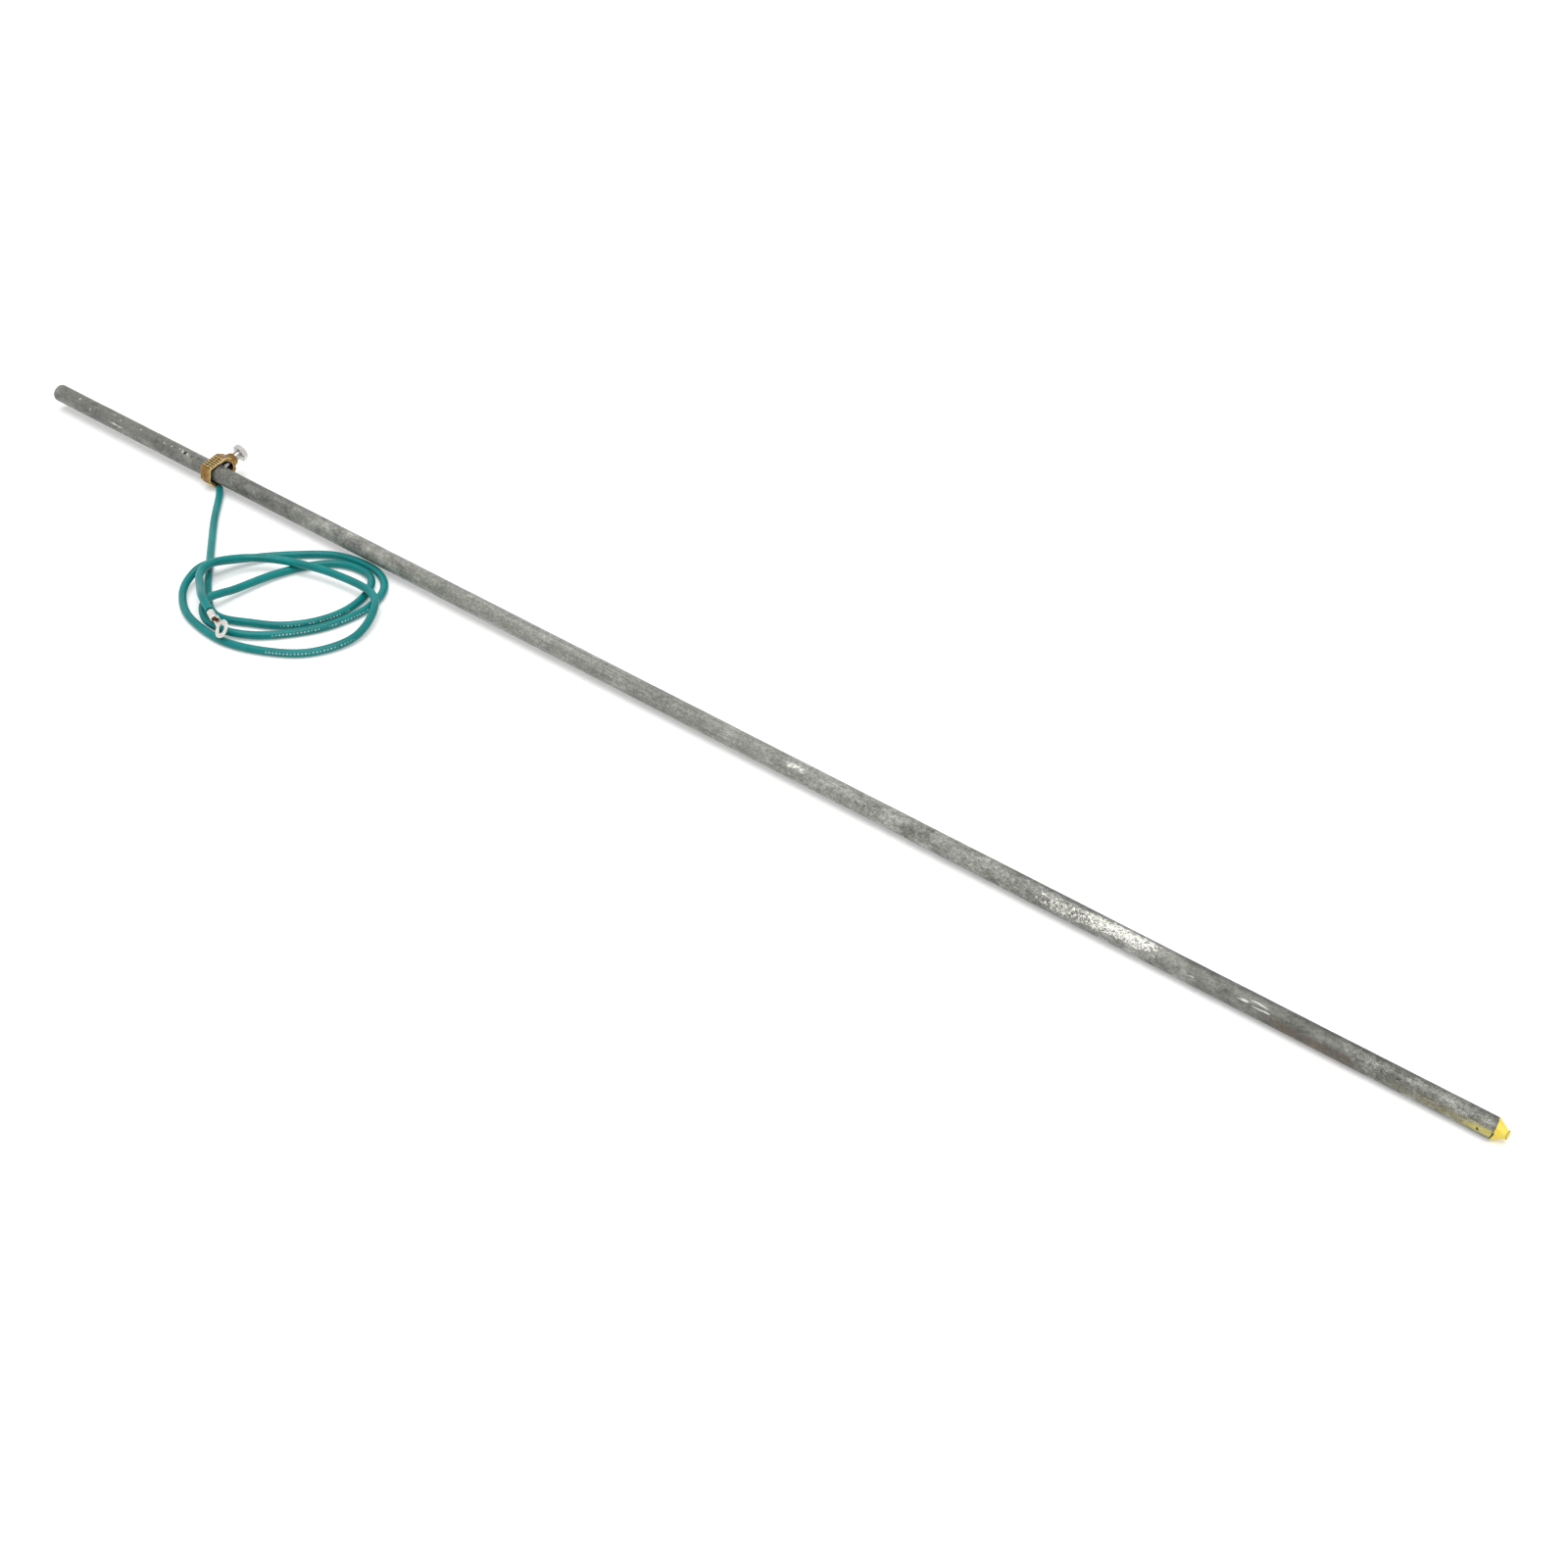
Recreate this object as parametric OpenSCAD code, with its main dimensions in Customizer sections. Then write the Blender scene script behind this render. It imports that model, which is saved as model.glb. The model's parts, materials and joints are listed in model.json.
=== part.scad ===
// Earth rod, lying as it comes to rest: a galvanised rod with a cast clamp near its driven end.
// The clamp's bolt presses the rod against the bare end of an earth wire, which lies in a loose coil
// beside the rod and ends in a ring terminal. Millimetres, +Z up, +X towards the rod's point.

/* [Rod] */
// Diameter of the rod
rod_d = 12.7; // [10:0.1:20]
// Length of the rod from the driven end to the end of its point
rod_length = 1219; // [900:1:2400]
// Rounding of the edge at the driven end
driven_round = 1.2; // [0.4:0.1:3]
// Length of the cone at the point
cone_length = 4.5; // [4:0.5:30]
// Diameter of the nub that is left on the cone when it is parted off
nub_d = 5.4; // [2:0.1:8]
// Length of that nub
nub_length = 2; // [1:0.1:6]
// Rounding of the nub's edge
nub_round = 0.5; // [0.2:0.1:0.9]

/* [Clamp] */
// Distance of the clamp's middle from the driven end
clamp_from_end = 182; // [60:1:300]
// Width of the clamp along the rod
clamp_width = 10.5; // [8:0.5:20]
// Thickness of the two flanks
flank_wall = 1.4; // [1.2:0.1:4]
// Thickness of the blunt V at the base
base_wall = 1.6; // [1.2:0.1:5]
// Slope of each face of the V, from square to the bolt
base_slope = 25; // [15:1:30]
// Space between the wire's strands and the flank beside them
flank_space = 0.2; // [0.1:0.05:1]
// Space between the rod and the end of the opening, for the bolt's point
bolt_space = 5.6; // [3:0.1:12]
// Thickness of the loop at the bolt's end, beside the boss
end_wall = 2; // [1.5:0.1:5]
// Length of the loop's sloped shoulders along the bolt
shoulder_run = 5.2; // [3:0.1:8]
// Rounding of the loop where its shoulders begin
shoulder_round = 4; // [1:0.1:6]
// Rounding of the V's ridge
ridge_round = 1.5; // [0.5:0.1:3]
// Rounding of the loop's other corners
corner_round = 1.2; // [0.5:0.1:1.8]
// Length of the bolt's boss beyond the loop
boss_length = 4.1; // [2:0.1:12]
// Wall of the boss round the bolt at its rim
boss_wall = 1.1; // [0.8:0.1:4]
// Taper of the boss on each side
boss_taper = 16; // [4:0.5:20]
// Rounding of the boss's rim
rim_round = 0.6; // [0.3:0.1:1]
// Angle of the bolt above the floor
clamp_roll = 14; // [0:1:30]

/* [Bolt] */
// Diameter over the thread
bolt_d = 6.35; // [4:0.05:10]
// Length of thread that shows between the boss and the head
thread_shown = 4.3; // [1:0.1:15]
// Chamfer at the bolt's point
tip_chamfer = 0.8; // [0.2:0.1:1.5]
// Width of the hexagon across its flats
head_flats = 11.1; // [10:0.1:17]
// Height of the head
head_h = 4.2; // [2.5:0.1:8]

/* [Earth wire] */
// Diameter over the insulation
wire_d = 5.5; // [4:0.1:5.6]
// Diameter of the bare strands
strands_d = 2.7; // [1.5:0.1:3.5]
// Diameter of the strands where the clamp presses them
pressed_d = 1.9; // [1.2:0.1:3]
// Angle of the strands round the rod, from straight opposite the bolt
strands_angle = 54; // [45:1:60]
// Length of the strands past the clamp's far face
strands_out = 1.5; // [0.5:0.1:6]

/* [Ring terminal] */
// Diameter of the ring
ring_d = 12.6; // [9:0.1:18]
// Diameter of the stud hole
stud_hole_d = 6.6; // [4:0.1:8]
// Thickness of the sheet that the terminal is made of
sheet_t = 1; // [0.6:0.1:2]
// Length of the barrel
barrel_length = 8; // [5:0.5:14]
// Distance from the barrel's front to the middle of the ring
neck_length = 10.2; // [9:0.1:18]
// Bare strands between the insulation and the barrel
bare_length = 1.6; // [0.5:0.1:5]
// Turn of the ring out of the level, about the wire
ring_twist = 53; // [0:1:80]

/* [Fits] */
// Clearance between pieces that are pressed together
seat_gap = 0.15; // [0.05:0.01:0.3]
// Clearance round the bolt's thread in the boss
thread_gap = 0.06; // [0.01:0.01:0.1]

/* [Hidden] */
$fn = 64;
over = 1;

// The rod, from its driven end
rod_r = rod_d / 2;
nub_r = nub_d / 2;
nub_x = rod_length - nub_length;
shoulder_x = nub_x - cone_length;

// The clamp's section, measured from the rod's axis along the bolt (u) and across it (w)
strands_r = strands_d / 2;
pressed_r = pressed_d / 2;
strands_reach = rod_r + seat_gap + pressed_r;
base_inner = strands_reach * cos(strands_angle - base_slope) + pressed_r + seat_gap;
base_outer = base_inner + base_wall;
flank_inner = strands_reach * sin(strands_angle) + pressed_r + flank_space;
flank_outer = flank_inner + flank_wall;
opening_end = rod_r + bolt_space;
loop_end = opening_end + end_wall;
boss_end = loop_end + boss_length;
bore_r = bolt_d / 2 + thread_gap;
boss_rim_r = bore_r + boss_wall;
boss_root_r = boss_rim_r + (boss_end - opening_end) * tan(boss_taper);
function base_u(distance, w) = (w * sin(base_slope) - distance) / cos(base_slope);

// The bolt along u
bolt_r = bolt_d / 2;
bolt_tip = rod_r + seat_gap;
head_u = boss_end + thread_shown;
head_end = head_u + head_h;
head_corner_r = head_flats / sqrt(3);
head_face_r = head_flats * 0.47;

// The earth wire's route, from the clamp to the terminal: x from the clamp's middle, y from the rod's
// near side, z from the floor
wire_r = wire_d / 2;
wire_rings = 80;
wire_sides = 10;
wire_points = [
    [8.5, 2, 3], [18, -6, 3], [40, -28, 3], [62, -48, 3], [88, -71, 3], [111, -91, 3], [133, -106, 3],
    [148, -108, 3], [165, -100, 3], [184, -88, 3], [197, -69, 3], [201, -47, 3], [195, -24, 3],
    [180, -8, 3], [156, -9, 3], [140, -24, 3], [131, -51, 4], [129, -82, 6], [129, -93, 8],
    [129, -103, 9], [134, -113, 8], [147, -119, 5], [168, -116, 4], [188, -100, 3], [206, -71, 3],
    [210, -38, 3], [199, -12, 3], [176, 0, 3], [144, -4, 3], [120, -23, 3], [102, -50, 5], [95, -78, 10],
    [96, -94, 7], [107, -109, 4], [131, -122, 3], [169, -126, 3], [201, -115, 3], [223, -97, 3],
    [232, -70, 4], [224, -45, 7], [205, -28, 9], [168, -28, 9], [134, -37, 9], [110, -53, 10],
    [102, -77, 14], [105, -91, 13], [120, -103, 14], [135, -113, 17], [150, -119, 15]];

// How the rod lies: on its cone's shoulder, and near the clamp on the wire or on the clamp's lower corner,
// whichever lifts it more
corner_w = flank_outer - corner_round;
corner_u = base_u(base_outer - corner_round, corner_w);
clamp_drop = corner_w * cos(clamp_roll) - corner_u * sin(clamp_roll) + corner_round;
over_wire = wire_points[0].z + sqrt((rod_r + seat_gap + wire_r) ^ 2 - (rod_r - wire_points[0].y) ^ 2);
rod_tilt = max(
    atan((clamp_drop - rod_r) / (shoulder_x - clamp_from_end - clamp_width / 2)),
    atan((over_wire - rod_r) / (shoulder_x - clamp_from_end - wire_points[0].x)));
driven_x = -rod_length * cos(rod_tilt) / 2;
driven_z = shoulder_x * sin(rod_tilt) + rod_r * cos(rod_tilt);

// The rod's axis stands off the middle plane, so that the rod with its clamp is centred
base_reach = ridge_round - base_u(base_outer - ridge_round, 0) * cos(clamp_roll);
head_reach = head_end * cos(clamp_roll) + head_face_r * sin(clamp_roll);
rod_y = (base_reach - head_reach) / 2;

// That route where the clamp lies
wire_route = [for (p = wire_points) [in_place([clamp_from_end, 0, 0]).x, rod_y - rod_r, 0] + p];
wire_start = wire_route[0];
wire_leaves = unit(wire_route[1] - wire_start);
wire_end = wire_route[len(wire_route) - 1];
wire_arrives = unit(wire_end - wire_route[len(wire_route) - 2]);

// The bare strands in the clamp: along the rod between it and the base, then out to the wire
strands_rings = 16;
strands_route = [
    strands_at(-clamp_width / 2 - strands_out),
    strands_at(0),
    strands_at(clamp_width / 2),
    strands_at(clamp_width / 2 + pressed_r / 2),
    wire_start - strands_r * wire_leaves,
    wire_start];
strands_radii = [pressed_r, pressed_r, pressed_r, pressed_r, strands_r, strands_r];
function strands_at(x) = in_place([
    clamp_from_end + x,
    -strands_reach * cos(strands_angle + clamp_roll),
    -strands_reach * sin(strands_angle + clamp_roll)]);

// The ring terminal, along X from the wire's end
barrel_bore_r = strands_r + seat_gap;
barrel_r = barrel_bore_r + sheet_t;
barrel_end = bare_length + barrel_length;
ring_x = barrel_end + neck_length;
tongue_tuck = 2;

// A point of the rod's own frame, carried to where the rod lies
function in_place(p) = [
    driven_x + p.x * cos(rod_tilt) + p.z * sin(rod_tilt),
    rod_y + p.y,
    driven_z - p.x * sin(rod_tilt) + p.z * cos(rod_tilt)];

function unit(v) = v / norm(v);

// The four route points that shape the curve after point i; past its ends the route goes straight on
function around(route, i) =
    let (last = len(route) - 1)
    [
        i > 0 ? route[i - 1] : 2 * route[0] - route[1],
        route[i],
        route[i + 1],
        i + 1 < last ? route[i + 2] : 2 * route[last] - route[last - 1]];

// A point on the smooth curve through a route, where t counts the route's points
function along(route, t) =
    let (i = min(floor(t), len(route) - 2),
         f = t - i,
         q = around(route, i))
    q[1] + f / 2 * (q[2] - q[0]
        + f * (2 * q[0] - 5 * q[1] + 4 * q[2] - q[3]
        + f * (3 * q[1] - 3 * q[2] + q[3] - q[0])));

// The curve's direction there
function heading(route, t) =
    let (i = min(floor(t), len(route) - 2),
         f = t - i,
         q = around(route, i))
    unit(q[2] - q[0]
        + 2 * f * (2 * q[0] - 5 * q[1] + 4 * q[2] - q[3])
        + 3 * f * f * (3 * q[1] - 3 * q[2] + q[3] - q[0]));

// Stations along that curve, each a point, a direction and a radius
function stations(route, radii, rings) = [
    for (ring = [0 : rings - 1])
        let (t = (len(route) - 1) * ring / (rings - 1))
        [along(route, t), heading(route, t), along(radii, t)]];

// Stations along the wire, all of one radius
function wire_stations(r) = stations(wire_route, [for (p = wire_route) r], wire_rings);

// A ring of points round each station
function hoops(stations) = [
    for (station = stations)
        let (side = unit(cross(station[1], [0, 0, 1])),
             up = cross(side, station[1]))
        for (k = [0 : wire_sides - 1])
            let (turn = 360 * k / wire_sides)
            station[0] + station[2] * (cos(turn) * side + sin(turn) * up)];

// The faces between rings of points, the first of which starts at a given point
function walls(rings, first = 0) = [
    for (ring = [0 : rings - 2], k = [0 : wire_sides - 1])
        let (a = first + ring * wire_sides + k,
             b = first + ring * wire_sides + (k + 1) % wire_sides)
        for (face = [[a, b, b + wire_sides], [a, b + wire_sides, a + wire_sides]])
            face];

// A round bar along stations
module swept_bar(stations) {
    last = (len(stations) - 1) * wire_sides;
    first_end = [for (k = [0 : wire_sides - 1]) wire_sides - 1 - k];
    last_end = [for (k = [0 : wire_sides - 1]) last + k];
    polyhedron(hoops(stations), concat([first_end, last_end], walls(len(stations))));
}

// A round pipe between stations of its outside and of its bore
module swept_pipe(outside, bore) {
    rings = len(outside);
    inner = rings * wire_sides;
    last = inner - wire_sides;
    bore_walls = [for (face = walls(rings, inner)) [face[2], face[1], face[0]]];
    rims = [
        for (k = [0 : wire_sides - 1])
            let (n = (k + 1) % wire_sides)
            for (face = [
                [n, k, inner + k],
                [n, inner + k, inner + n],
                [last + k, last + n, inner + last + n],
                [last + k, inner + last + n, inner + last + k]])
                face];
    polyhedron(concat(hoops(outside), hoops(bore)), concat(walls(rings), bore_walls, rims));
}

// A closed outline whose corners, each [x, y, radius], are rounded off by arcs
function rounded(corners, steps = 8) = [
    for (i = [0 : len(corners) - 1])
        let (n = len(corners),
             p = [corners[i].x, corners[i].y],
             before = corners[(i + n - 1) % n],
             after = corners[(i + 1) % n],
             back = unit([before.x, before.y] - p),
             front = unit([after.x, after.y] - p),
             half = acos(back * front) / 2,
             middle = p + corners[i][2] / sin(half) * unit(back + front),
             from = p + corners[i][2] / tan(half) * back - middle,
             turn = (back.x * front.y - back.y * front.x > 0 ? -1 : 1) * (180 - 2 * half))
        for (s = [0 : steps])
            let (a = turn * s / steps)
            middle + [from.x * cos(a) - from.y * sin(a), from.x * sin(a) + from.y * cos(a)]];

// Places what is drawn along the rod, from the driven end
module on_rod() {
    translate([driven_x, rod_y, driven_z])
        rotate([0, rod_tilt, 0])
            children();
}

// Places what is drawn in the clamp: X along the rod, Y along the bolt
module on_clamp() {
    on_rod()
        translate([clamp_from_end, 0, 0])
            rotate([clamp_roll, 0, 0])
                children();
}

// Turns what is drawn along Z so that it runs along the bolt
module along_bolt() {
    rotate([-90, 0, 0])
        children();
}

// Draws a section of the clamp as a bar along the rod
module across_clamp(width) {
    rotate([90, 0, 90])
        translate([0, 0, -width / 2])
            linear_extrude(width)
                children();
}

// Places what is drawn along X from the wire's end, level with the ring
module on_wire_end() {
    translate(wire_end)
        rotate([0, -asin(wire_arrives.z), atan2(wire_arrives.y, wire_arrives.x)])
            rotate([ring_twist, 0, 0])
                children();
}

module rod() {
    driven_edge = [
        for (a = [0 : 15 : 90])
            [rod_r - driven_round * (1 - sin(a)), driven_round * (1 - cos(a))]];
    nub_edge = [
        for (a = [0 : 30 : 90])
            [nub_r - nub_round * (1 - cos(a)), rod_length - nub_round * (1 - sin(a))]];
    color("#8e9291")
        on_rod()
            rotate([0, 90, 0])
                rotate_extrude()
                    polygon(concat(
                        [[0, 0]],
                        driven_edge,
                        [[rod_r, shoulder_x], [nub_r, nub_x]],
                        nub_edge,
                        [[0, rod_length]]));
}

// The clamp's outer outline
module clamp_outline() {
    heel_u = base_u(base_outer, flank_outer);
    shoulder_u = loop_end - shoulder_run;
    end_w = boss_root_r - corner_round;
    polygon(rounded([
        [base_u(base_outer, 0), 0, ridge_round],
        [heel_u, -flank_outer, corner_round],
        [shoulder_u, -flank_outer, shoulder_round],
        [loop_end, -end_w, corner_round],
        [loop_end, end_w, corner_round],
        [shoulder_u, flank_outer, shoulder_round],
        [heel_u, flank_outer, corner_round]]));
}

// The opening: a blunt V at the base, straight flanks and a round end
module clamp_opening() {
    heel_u = base_u(base_inner, flank_inner);
    polygon(rounded([
        [base_u(base_inner, 0), 0, ridge_round],
        [heel_u, -flank_inner, pressed_r],
        [opening_end, -flank_inner, flank_inner],
        [opening_end, flank_inner, flank_inner],
        [heel_u, flank_inner, pressed_r]]));
}

// The boss for the bolt, tapered and rounded as it is cast
module boss() {
    rim = [
        for (a = [0 : 15 : 90])
            [boss_rim_r - rim_round * (1 - cos(a)), boss_end - rim_round * (1 - sin(a))]];
    along_bolt()
        rotate_extrude()
            polygon(concat([[0, opening_end], [boss_root_r, opening_end]], rim, [[0, boss_end]]));
}

module clamp_body() {
    color("#a97b3c")
        on_clamp()
            difference() {
                union() {
                    across_clamp(clamp_width)
                        clamp_outline();
                    boss();
                }
                across_clamp(clamp_width + 2 * boss_root_r)
                    clamp_opening();
                along_bolt()
                    cylinder(r = bore_r, h = boss_end + over);
            }
}

module clamp_bolt() {
    chamfer_h = (head_corner_r - head_face_r) * tan(30);
    color("#d5d6d4")
        on_clamp()
            along_bolt() {
                rotate_extrude()
                    polygon([
                        [0, bolt_tip],
                        [bolt_r - tip_chamfer, bolt_tip],
                        [bolt_r, bolt_tip + tip_chamfer],
                        [bolt_r, head_u + head_h / 2],
                        [0, head_u + head_h / 2]]);
                intersection() {
                    translate([0, 0, head_u])
                        cylinder(r = head_corner_r, h = head_h, $fn = 6);
                    rotate_extrude()
                        polygon([
                            [0, head_u],
                            [head_corner_r, head_u],
                            [head_corner_r, head_end - chamfer_h],
                            [head_face_r, head_end],
                            [0, head_end]]);
                }
            }
}

// The copper strands, from the clamp through the insulation into the terminal's barrel
module conductor() {
    to_wire = stations(strands_route, strands_radii, strands_rings);
    in_clamp = [for (i = [0 : strands_rings - 2]) to_wire[i]];
    in_barrel = [[wire_end + (barrel_end + bare_length / 2) * wire_arrives, wire_arrives, strands_r]];
    color("#b87a4a")
        swept_bar(concat(in_clamp, wire_stations(strands_r), in_barrel));
}

module insulation() {
    color("#1f8780")
        swept_pipe(wire_stations(wire_r), wire_stations(strands_r + seat_gap));
}

// The tongue: a neck that widens from the barrel into the ring
module tongue_outline() {
    neck_w = barrel_r * 1.1;
    root_w = ring_d * 0.35;
    circle(d = ring_d);
    polygon([
        [-neck_length - tongue_tuck, -barrel_r],
        [-neck_length / 2, -neck_w],
        [0, -root_w],
        [0, root_w],
        [-neck_length / 2, neck_w],
        [-neck_length - tongue_tuck, barrel_r]]);
}

module ring_terminal() {
    color("#d9d8d2")
        on_wire_end()
            difference() {
                union() {
                    translate([bare_length, 0, 0])
                        rotate([0, 90, 0])
                            cylinder(r = barrel_r, h = barrel_length);
                    translate([ring_x, 0, -barrel_r])
                        linear_extrude(sheet_t)
                            tongue_outline();
                }
                translate([bare_length - over, 0, 0])
                    rotate([0, 90, 0])
                        cylinder(r = barrel_bore_r, h = barrel_length + 2 * over);
                translate([ring_x, 0, -barrel_r - over])
                    cylinder(d = stud_hole_d, h = sheet_t + 2 * over);
            }
}

rod();
clamp_body();
clamp_bolt();
conductor();
insulation();
ring_terminal();
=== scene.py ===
import json
import math

import bmesh
import bpy
from mathutils import Matrix, Vector


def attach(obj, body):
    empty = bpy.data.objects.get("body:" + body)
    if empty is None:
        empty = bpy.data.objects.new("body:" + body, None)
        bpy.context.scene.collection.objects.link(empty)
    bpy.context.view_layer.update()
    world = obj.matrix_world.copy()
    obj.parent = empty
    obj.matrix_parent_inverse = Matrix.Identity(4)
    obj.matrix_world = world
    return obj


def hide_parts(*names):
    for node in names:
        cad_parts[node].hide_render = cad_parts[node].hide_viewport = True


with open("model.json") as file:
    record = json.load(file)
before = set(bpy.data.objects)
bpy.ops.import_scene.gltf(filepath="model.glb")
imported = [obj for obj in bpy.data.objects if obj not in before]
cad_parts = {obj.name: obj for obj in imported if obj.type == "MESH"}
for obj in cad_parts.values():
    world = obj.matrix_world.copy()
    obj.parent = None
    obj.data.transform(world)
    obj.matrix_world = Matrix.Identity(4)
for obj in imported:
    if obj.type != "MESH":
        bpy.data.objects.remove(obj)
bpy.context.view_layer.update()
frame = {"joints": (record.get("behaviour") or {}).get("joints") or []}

scene = bpy.context.scene
scene.view_settings.view_transform = "Standard"

MM = 0.001

# Sizes in metres, as in the CAD model
ROD_R = 6.35 * MM
CLAMP_FROM_END = 182 * MM
NUB_R = 2.7 * MM
CLAMP_WIDTH = 10.5 * MM
BASE_SLOPE = math.radians(25)
WIRE_R = 2.75 * MM
STRANDS_R = 1.35 * MM
PRESSED_R = 0.95 * MM

# The point as in the photograph: the same length in all, but its shoulder 1.2 mm before the CAD model's
SHOULDER_X = 1211.3 * MM
CONE_LENGTH = 6.2 * MM
NUB_LENGTH = 1.5 * MM

# The rod's frame starts where the bolt's axis meets the rod's, and the clamp's frame is rolled about it
turning = frame["joints"][0]
hub = Vector(turning["pos_m"])
bolt_axis = Vector(turning["axis"])
rod_tilt = math.atan2(bolt_axis.x, bolt_axis.z)
clamp_roll = math.atan2(math.hypot(bolt_axis.x, bolt_axis.z), bolt_axis.y)
on_rod = Matrix.Translation(hub) @ Matrix.Rotation(rod_tilt, 4, "Y")
on_clamp = on_rod @ Matrix.Rotation(clamp_roll, 4, "X")
along_bolt = on_clamp @ Matrix.Rotation(math.radians(-90), 4, "X")


# Camera, fitted to the photograph

CAMERA_PLACE = (1.0342, -1.0355 + hub.y, 0.9736)
CAMERA_TURN = math.radians(41.62)
CAMERA_RISE = math.radians(35.28)
SENSOR_WIDTH, LENS = 36, 63.83


def set_camera():
    level = math.cos(CAMERA_RISE)
    back = Vector((math.sin(CAMERA_TURN) * level, -math.cos(CAMERA_TURN) * level, math.sin(CAMERA_RISE)))
    right = Vector((math.cos(CAMERA_TURN), math.sin(CAMERA_TURN), 0))
    up = back.cross(right)
    data = bpy.data.cameras.new("photo_camera")
    data.sensor_width = SENSOR_WIDTH
    data.lens = LENS
    data.clip_end = 50
    camera = bpy.data.objects.new("photo_camera", data)
    scene.collection.objects.link(camera)
    facing = Matrix((right, up, back)).transposed().to_4x4()
    camera.matrix_world = Matrix.Translation(CAMERA_PLACE) @ facing
    scene.camera = camera


set_camera()


# Materials

def srgb(red, green, blue):
    def linear(level):
        level /= 255
        return level / 12.92 if level <= 0.04045 else ((level + 0.055) / 1.055) ** 2.4
    return (linear(red), linear(green), linear(blue), 1)


class Level:
    """A shader value: Python's operators on it add Math nodes."""

    def __init__(self, finish, socket):
        self.finish = finish
        self.socket = socket

    def math(self, operation, first, second=None):
        values = {0: first} if second is None else {0: first, 1: second}
        return self.finish.node("ShaderNodeMath", {"operation": operation}, values)

    def __add__(self, other):
        return self.math("ADD", self, other)

    def __radd__(self, other):
        return self.math("ADD", other, self)

    def __sub__(self, other):
        return self.math("SUBTRACT", self, other)

    def __rsub__(self, other):
        return self.math("SUBTRACT", other, self)

    def __mul__(self, other):
        return self.math("MULTIPLY", self, other)

    def __rmul__(self, other):
        return self.math("MULTIPLY", other, self)

    def __truediv__(self, other):
        return self.math("DIVIDE", self, other)

    def __pow__(self, other):
        return self.math("POWER", self, other)

    def part_of(self, step):
        return self.math("FRACT", self / step)

    def angle_from(self, other):
        return self.math("ARCTAN2", self, other)

    def size(self):
        return self.math("ABSOLUTE", self)

    def at_least(self, other):
        return self.math("MAXIMUM", self, other)

    def rise(self, start, end):
        """0 before start, 1 after end, smooth between them; start may be the larger."""
        return self.finish.node(
            "ShaderNodeMapRange", {"interpolation_type": "SMOOTHSTEP"},
            {"Value": self, "From Min": start, "From Max": end})

    def stops(self, *stops):
        """A colour for each level, as pairs of a place and a colour."""
        return self.finish.node("ShaderNodeValToRGB", {"stops": stops}, {"Fac": self})


class Finish:
    """One material: its shader, and a way to add any node to it."""

    def __init__(self, name, **constants):
        self.material = bpy.data.materials.new(name)
        self.material.use_nodes = True
        self.tree = self.material.node_tree
        self.shader = self.tree.nodes["Principled BSDF"]
        for socket, value in constants.items():
            self.shader.inputs[socket.replace("_", " ")].default_value = value

    def node(self, kind, settings, sockets, output=0):
        made = self.tree.nodes.new(kind)
        for name, value in settings.items():
            if name == "stops":
                points = made.color_ramp.elements
                while len(points) < len(value):
                    points.new(1)
                for point, (place, colour) in zip(points, value):
                    point.position = place
                    point.color = colour
            else:
                setattr(made, name, value)
        for name, value in sockets.items():
            if isinstance(value, Level):
                self.tree.links.new(value.socket, made.inputs[name])
            else:
                made.inputs[name].default_value = value
        return Level(self, made.outputs[output])

    def object_place(self):
        return self.node("ShaderNodeTexCoord", {}, {}, "Object")

    def drawn_out(self, place, share):
        """A place whose X counts for a share only, so that a texture is drawn out along the rod."""
        return self.node("ShaderNodeMapping", {}, {"Vector": place, "Scale": (share, 1, 1)})

    def axes(self, place):
        return [self.node("ShaderNodeSeparateXYZ", {}, {"Vector": place}, axis) for axis in "XYZ"]

    def reach(self, place, direction):
        """How far a place lies from the hub in one direction."""
        return self.node("ShaderNodeVectorMath", {"operation": "DOT_PRODUCT"}, {
            0: place, 1: tuple(direction)}, "Value") - hub.dot(direction)

    def distance(self, place, point):
        return self.node(
            "ShaderNodeVectorMath", {"operation": "DISTANCE"}, {0: place, 1: tuple(point)}, "Value")

    def pointiness(self):
        return self.node("ShaderNodeNewGeometry", {}, {}, "Pointiness")

    def cloud(self, place, scale, detail, rough=0.5):
        return self.node("ShaderNodeTexNoise", {}, {
            "Vector": place, "Scale": scale, "Detail": detail, "Roughness": rough}, "Fac")

    def cell_walls(self, place, scale):
        """How far a place lies from the nearest wall between cells."""
        return self.node(
            "ShaderNodeTexVoronoi", {"feature": "DISTANCE_TO_EDGE"}, {"Vector": place, "Scale": scale}, "Distance")

    def mix(self, share, first, second):
        return self.node("ShaderNodeMix", {"data_type": "RGBA"}, {0: share, 6: first, 7: second}, 2)

    def bump(self, height, depth, strength):
        return self.node("ShaderNodeBump", {}, {"Height": height, "Distance": depth, "Strength": strength})

    def shade(self, **sockets):
        for name, value in sockets.items():
            self.tree.links.new(value.socket, self.shader.inputs[name.replace("_", " ")])


# Modelling by hand

ROUND_SIDES = 64
SAME_PLACE = 0.001 * MM


def look_at_nothing():
    """Leaves edit mode and deselects everything, the CAD nodes among it."""
    if bpy.context.object and bpy.context.object.mode != "OBJECT":
        bpy.ops.object.mode_set(mode="OBJECT")
    bpy.ops.object.select_all(action="DESELECT")


def take(piece):
    look_at_nothing()
    piece.select_set(True)
    bpy.context.view_layer.objects.active = piece


def edit(piece):
    take(piece)
    bpy.ops.object.mode_set(mode="EDIT")


def added(name):
    piece = bpy.context.object
    piece.name = name
    piece.data.name = name
    return piece


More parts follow.
